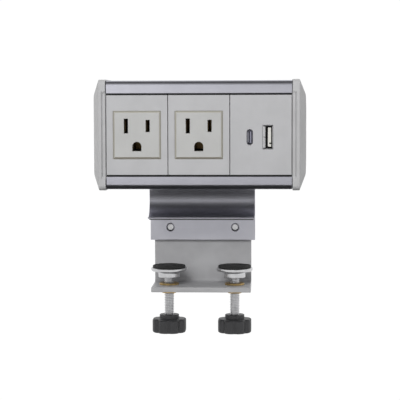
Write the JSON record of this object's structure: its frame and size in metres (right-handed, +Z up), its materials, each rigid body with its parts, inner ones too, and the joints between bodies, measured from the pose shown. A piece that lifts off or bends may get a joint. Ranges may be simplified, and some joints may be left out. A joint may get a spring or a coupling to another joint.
{
  "type": "desk power strip",
  "caption": "Desk power unit with grounded outlets and USB charging ports in an aluminium extrusion with plastic end caps, on a curved bracket that clamps to the edge of a desk.",
  "frame": {"origin": "middle of the underside of the rubber foot pad, where the bracket rests on the desk top", "axes": "+Z up, +X to the right seen from the sockets' side, -Y towards the user"},
  "size_m": [0.126, 0.0738, 0.1536],
  "materials": {
    "anodised_aluminium": "fine drawn grain, satin clear anodised",
    "cap_plastic": "moulded light grey, fine spark texture",
    "plate_plastic": "moulded light grey, smooth satin",
    "insert_plastic": "moulded light grey, slightly warm",
    "shell_plastic": "moulded grey, plain",
    "brass": "rolled strip, satin",
    "plated_steel": "nickel plated, satin",
    "white_plastic": "moulded white",
    "black_metal": "black plated, satin",
    "black_plastic": "moulded black, fine texture",
    "circuit_board": "green solder mask",
    "transformer_core": "dark ferrite and yellow tape",
    "capacitor_can": "dark blue sleeve",
    "black_wire": "extruded insulation",
    "white_wire": "extruded insulation",
    "green_wire": "extruded insulation",
    "black_rubber": "matt, fine grain",
    "painted_steel": "grey powder coat"
  },
  "bodies": {
    "root": {"housing": "anodised_aluminium", "left_end_cap": "cap_plastic", "right_end_cap": "cap_plastic", "left_cap_screws": "plated_steel", "right_cap_screws": "plated_steel", "left_outlet_frame": "plate_plastic", "left_outlet_face": "insert_plastic", "left_outlet_back": "shell_plastic", "left_hot_contact": "brass", "left_neutral_contact": "brass", "left_ground_contact": "brass", "left_terminal_screws": "plated_steel", "middle_outlet_frame": "plate_plastic", "middle_outlet_face": "insert_plastic", "middle_outlet_back": "shell_plastic", "middle_hot_contact": "brass", "middle_neutral_contact": "brass", "middle_ground_contact": "brass", "middle_terminal_screws": "plated_steel", "usb_plate": "plate_plastic", "usb_a_shell": "plated_steel", "usb_a_tongue": "white_plastic", "usb_a_contacts": "brass", "usb_c_shell": "black_metal", "usb_c_tongue": "black_plastic", "usb_board": "circuit_board", "usb_transformer": "transformer_core", "usb_capacitors": "capacitor_can", "usb_chips": "black_plastic", "usb_back_cover": "shell_plastic", "usb_board_screws": "plated_steel", "live_wires": "black_wire", "neutral_wires": "white_wire", "ground_wires": "green_wire", "terminal_block": "white_plastic", "cord_gland": "black_plastic", "gland_nut": "black_plastic", "neck_bracket": "anodised_aluminium", "neck_set_screws": "black_metal", "foot_pad": "black_rubber", "jaw_plate": "painted_steel", "jaw_screws": "plated_steel", "jaw_bushings": "brass"},
    "left_pad": {"left_clamp_pad": "plated_steel", "left_pad_rubber": "black_rubber"},
    "right_pad": {"right_clamp_pad": "plated_steel", "right_pad_rubber": "black_rubber"},
    "left_screw": {"left_clamp_screw": "plated_steel", "left_clamp_knob": "black_plastic"},
    "right_screw": {"right_clamp_screw": "plated_steel", "right_clamp_knob": "black_plastic"}
  },
  "joints": [
    {"name": "left_pad_travel", "type": "slide", "parent": "root", "child": "left_pad", "axis": [0, 0, 1], "range_m": [-0.0025, 0.0125]},
    {"name": "left_screw_turn", "type": "hinge", "parent": "left_pad", "child": "left_screw", "pos_m": [-0.02, -0.004, -0.06], "axis": [0, 0, 1], "range_deg": [-901, 4501]},
    {"name": "right_pad_travel", "type": "slide", "parent": "root", "child": "right_pad", "axis": [0, 0, 1], "range_m": [-0.0025, 0.0125]},
    {"name": "right_screw_turn", "type": "hinge", "parent": "right_pad", "child": "right_screw", "pos_m": [0.02, -0.004, -0.06], "axis": [0, 0, 1], "range_deg": [-901, 4501]}
  ],
  "couplings": [
    {"joint": "left_screw_turn", "follows": "left_pad_travel", "rad_per_m": 6283.2},
    {"joint": "right_screw_turn", "follows": "right_pad_travel", "rad_per_m": 6283.2}
  ]
}
